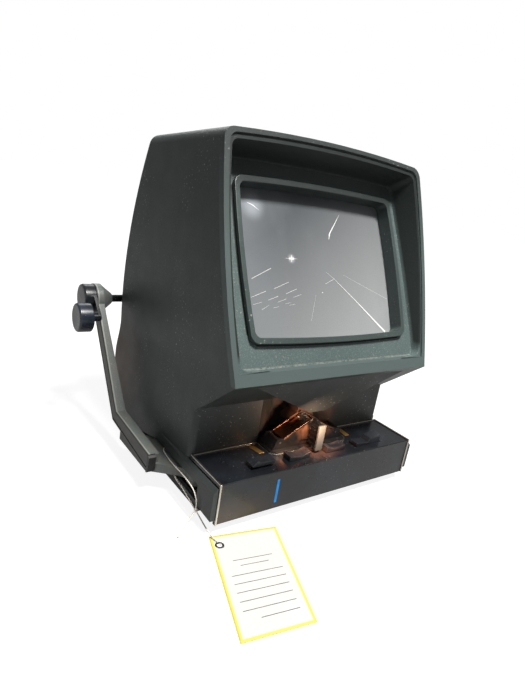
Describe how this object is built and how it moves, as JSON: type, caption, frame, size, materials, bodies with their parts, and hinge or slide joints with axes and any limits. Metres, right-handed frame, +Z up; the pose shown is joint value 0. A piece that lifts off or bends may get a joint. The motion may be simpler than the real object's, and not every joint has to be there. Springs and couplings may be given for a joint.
{
  "type": "film editor viewer",
  "caption": "Desk-top film-editing viewer with a hooded screen, a film gate on its control deck and folding reel arms with cranks.",
  "frame": {"origin": "on the table, under the middle of the viewer with its reel arms folded back", "axes": "+X to the right of someone facing the screen, +Y to the back, +Z up"},
  "size_m": [0.2872, 0.3129, 0.2725],
  "materials": {
    "housing_paint": "moulded fine-grained grey-green",
    "mask_paint": "moulded fine-grained grey-green, satin",
    "ring_plastic": "satin",
    "screen_glass": "ground translucent",
    "deck_black": "gloss, lightly worn",
    "trim_bright": "bright",
    "tab_black": "gloss",
    "switch_plastic": "plain",
    "spring_steel": "plain",
    "gate_black": "moulded satin black",
    "track_metal": "polished by the film",
    "roller_white": "satin",
    "pin_steel": "plain",
    "drum_metal": "machined",
    "optical_glass": "polished",
    "mirror_face": "silvered",
    "fin_black": "ribbed",
    "strip_pale": "satin",
    "funnel_black": "moulded satin black",
    "sheet_steel": "plain",
    "lamp_ceramic": "plain",
    "core_iron": "laminated",
    "cover_paint": "fine-grained grey-green enamel",
    "tray_black": "satin black",
    "foot_rubber": "plain",
    "screw_steel": "plain",
    "arm_paint": "fine-grained grey-green enamel",
    "bush_brass": "plain",
    "plug_black": "satin",
    "spindle_black": "satin black",
    "crank_gloss": "gloss",
    "knob_gloss": "gloss",
    "string_cotton": "twisted",
    "tag_paper": "matt card"
  },
  "bodies": {
    "viewer": {"hood_housing": "housing_paint", "screen_mask": "mask_paint", "screen_ring": "ring_plastic", "screen": "screen_glass", "control_deck": "deck_black", "deck_trim": "trim_bright", "switch_body": "switch_plastic", "mark_spring": "spring_steel", "gate_block": "gate_black", "film_track": "track_metal", "roller_pins": "pin_steel", "condenser_lens": "optical_glass", "beam_funnel": "funnel_black", "lens_holder": "gate_black", "first_mirror": "mirror_face", "rear_mirror": "mirror_face", "rear_mirror_frame": "sheet_steel", "mirror_bracket": "sheet_steel", "lamp_socket": "lamp_ceramic", "lamp_bulb": "optical_glass", "lamp_house": "sheet_steel", "transformer": "core_iron", "rear_cover": "cover_paint", "cover_screws": "screw_steel", "cord_gland": "plug_black", "bottom_tray": "tray_black", "rubber_feet": "foot_rubber", "tray_screws": "screw_steel", "arm_pivot_pins": "pin_steel", "string_upper": "string_cotton", "string_lower": "string_cotton", "string_tie": "string_cotton", "string_tail": "string_cotton", "string_knot": "string_cotton", "tag_card": "tag_paper"},
    "left_arm": {"left_reel_arm": "arm_paint", "left_spindle_bush": "bush_brass", "left_arm_plug": "plug_black"},
    "left_crank": {"left_spindle": "spindle_black", "left_crank": "crank_gloss"},
    "left_knob": {"left_crank_knob": "knob_gloss"},
    "right_arm": {"right_reel_arm": "arm_paint", "right_spindle_bush": "bush_brass", "right_arm_plug": "plug_black"},
    "right_crank": {"right_spindle": "spindle_black", "right_crank": "crank_gloss"},
    "right_knob": {"right_crank_knob": "knob_gloss"},
    "format_slide": {"format_grip": "fin_black", "grip_strip": "strip_pale"},
    "mark_button": {"mark_tab": "tab_black"},
    "focus_slide": {"focus_tab": "tab_black"},
    "lens": {"lens_barrel": "drum_metal", "projection_lens": "optical_glass"},
    "frame_slide": {"frame_tab": "tab_black"},
    "frame_plate": {"aperture_plate": "spring_steel"},
    "lamp_switch": {"lamp_rocker": "tab_black"},
    "film_drum": {"sprocket_drum": "drum_metal", "drum_prism": "optical_glass"},
    "left_roller": {"left_film_roller": "roller_white"},
    "right_roller": {"right_film_roller": "roller_white"}
  },
  "joints": [
    {"name": "left_arm_swing", "type": "hinge", "parent": "viewer", "child": "left_arm", "pos_m": [-0.09, -0.0665, 0.02025], "axis": [0, 0, 1], "range_deg": [0, 90]},
    {"name": "left_crank_turn", "type": "hinge", "parent": "left_arm", "child": "left_crank", "pos_m": [-0.122, 0.0971, 0.115], "axis": [1, 0, 0], "continuous": true},
    {"name": "left_knob_spin", "type": "hinge", "parent": "left_crank", "child": "left_knob", "pos_m": [-0.137, 0.0735, 0.10434], "axis": [1, 0, 0], "continuous": true},
    {"name": "right_arm_swing", "type": "hinge", "parent": "viewer", "child": "right_arm", "pos_m": [0.09, -0.0665, 0.02025], "axis": [0, 0, 1], "range_deg": [-90, 0]},
    {"name": "right_crank_turn", "type": "hinge", "parent": "right_arm", "child": "right_crank", "pos_m": [0.122, 0.0971, 0.115], "axis": [1, 0, 0], "continuous": true},
    {"name": "right_knob_spin", "type": "hinge", "parent": "right_crank", "child": "right_knob", "pos_m": [0.137, 0.0735, 0.10434], "axis": [1, 0, 0], "continuous": true},
    {"name": "format_shift", "type": "slide", "parent": "viewer", "child": "format_slide", "axis": [0, 1, 0], "range_m": [0, 0.002]},
    {"name": "mark_press", "type": "slide", "parent": "viewer", "child": "mark_button", "axis": [0, 0, -1], "range_m": [0, 0.0018], "stiffness_N_per_m": 1200},
    {"name": "focus_shift", "type": "slide", "parent": "viewer", "child": "focus_slide", "axis": [1, 0, 0], "range_m": [-0.0025, 0.0025]},
    {"name": "lens_lift", "type": "slide", "parent": "viewer", "child": "lens", "axis": [0, 0, 1], "range_m": [-0.00125, 0.00125]},
    {"name": "frame_shift", "type": "slide", "parent": "viewer", "child": "frame_slide", "axis": [1, 0, 0], "range_m": [-0.0025, 0.0025]},
    {"name": "plate_shift", "type": "slide", "parent": "viewer", "child": "frame_plate", "axis": [1, 0, 0], "range_m": [-0.001, 0.001]},
    {"name": "lamp_rock", "type": "hinge", "parent": "viewer", "child": "lamp_switch", "pos_m": [0.0545, -0.097, 0.034], "axis": [0, 1, 0], "range_deg": [0, 8]},
    {"name": "drum_turn", "type": "hinge", "parent": "viewer", "child": "film_drum", "pos_m": [0, -0.0765, 0.0558], "axis": [0, 1, 0], "continuous": true},
    {"name": "left_roller_turn", "type": "hinge", "parent": "viewer", "child": "left_roller", "pos_m": [-0.03, -0.0765, 0.0472], "axis": [0, 1, 0], "continuous": true},
    {"name": "right_roller_turn", "type": "hinge", "parent": "viewer", "child": "right_roller", "pos_m": [0.03, -0.0765, 0.0472], "axis": [0, 1, 0], "continuous": true}
  ],
  "couplings": [
    {"joint": "lens_lift", "follows": "focus_shift", "ratio": 0.5},
    {"joint": "plate_shift", "follows": "frame_shift", "ratio": 0.4}
  ]
}
